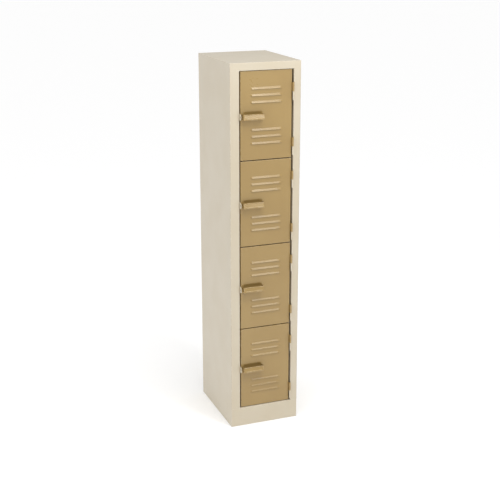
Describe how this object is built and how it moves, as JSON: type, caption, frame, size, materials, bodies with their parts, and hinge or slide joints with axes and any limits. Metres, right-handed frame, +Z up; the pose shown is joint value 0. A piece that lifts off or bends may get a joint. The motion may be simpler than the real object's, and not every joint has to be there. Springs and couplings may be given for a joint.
{
  "type": "locker cabinet",
  "caption": "Narrow sheet-steel locker, one column of stacked compartments behind louvred doors on lift-off hinges, with pull handles and padlock staples.",
  "frame": {"origin": "on the floor, at the centre of the outline's width and depth, handles included", "axes": "+Z up, +X to the right as one faces the doors, -Y out of the doors towards the user"},
  "size_m": [0.35, 0.475, 1.8],
  "materials": {
    "cream_paint": "cream enamel, semi-gloss",
    "tan_paint": "tan enamel, semi-gloss",
    "zinc_steel": "bright zinc plate",
    "black_rubber": "matt"
  },
  "bodies": {
    "carcass": {"left_side_panel": "cream_paint", "right_side_panel": "cream_paint", "back_panel": "cream_paint", "top_panel": "cream_paint", "base_panel": "cream_paint", "rear_base_rail": "cream_paint", "left_upright": "cream_paint", "right_upright": "cream_paint", "top_rail": "cream_paint", "bottom_rail": "cream_paint", "shelf_1": "cream_paint", "shelf_2": "cream_paint", "shelf_3": "cream_paint", "padlock_staple_1": "cream_paint", "hinge_frame_half_lower_1": "cream_paint", "hinge_frame_half_upper_1": "cream_paint", "hinge_pin_lower_1": "zinc_steel", "hinge_pin_upper_1": "zinc_steel", "door_buffer_lower_1": "black_rubber", "door_buffer_upper_1": "black_rubber", "padlock_staple_2": "cream_paint", "hinge_frame_half_lower_2": "cream_paint", "hinge_frame_half_upper_2": "cream_paint", "hinge_pin_lower_2": "zinc_steel", "hinge_pin_upper_2": "zinc_steel", "door_buffer_lower_2": "black_rubber", "door_buffer_upper_2": "black_rubber", "padlock_staple_3": "cream_paint", "hinge_frame_half_lower_3": "cream_paint", "hinge_frame_half_upper_3": "cream_paint", "hinge_pin_lower_3": "zinc_steel", "hinge_pin_upper_3": "zinc_steel", "door_buffer_lower_3": "black_rubber", "door_buffer_upper_3": "black_rubber", "padlock_staple_4": "cream_paint", "hinge_frame_half_lower_4": "cream_paint", "hinge_frame_half_upper_4": "cream_paint", "hinge_pin_lower_4": "zinc_steel", "hinge_pin_upper_4": "zinc_steel", "door_buffer_lower_4": "black_rubber", "door_buffer_upper_4": "black_rubber"},
    "door_1": {"door_1": "tan_paint", "handle_1": "tan_paint", "hinge_door_half_lower_1": "tan_paint", "hinge_door_half_upper_1": "tan_paint"},
    "door_2": {"door_2": "tan_paint", "handle_2": "tan_paint", "hinge_door_half_lower_2": "tan_paint", "hinge_door_half_upper_2": "tan_paint"},
    "door_3": {"door_3": "tan_paint", "handle_3": "tan_paint", "hinge_door_half_lower_3": "tan_paint", "hinge_door_half_upper_3": "tan_paint"},
    "door_4": {"door_4": "tan_paint", "handle_4": "tan_paint", "hinge_door_half_lower_4": "tan_paint", "hinge_door_half_upper_4": "tan_paint"}
  },
  "joints": [
    {"name": "door_1_hinge", "type": "hinge", "parent": "carcass", "child": "door_1", "pos_m": [0.1365, -0.217, 1.5555], "axis": [0, 0, 1], "range_deg": [0, 170]},
    {"name": "door_2_hinge", "type": "hinge", "parent": "carcass", "child": "door_2", "pos_m": [0.1365, -0.217, 1.1385], "axis": [0, 0, 1], "range_deg": [0, 170]},
    {"name": "door_3_hinge", "type": "hinge", "parent": "carcass", "child": "door_3", "pos_m": [0.1365, -0.217, 0.7215], "axis": [0, 0, 1], "range_deg": [0, 170]},
    {"name": "door_4_hinge", "type": "hinge", "parent": "carcass", "child": "door_4", "pos_m": [0.1365, -0.217, 0.3045], "axis": [0, 0, 1], "range_deg": [0, 170]}
  ]
}
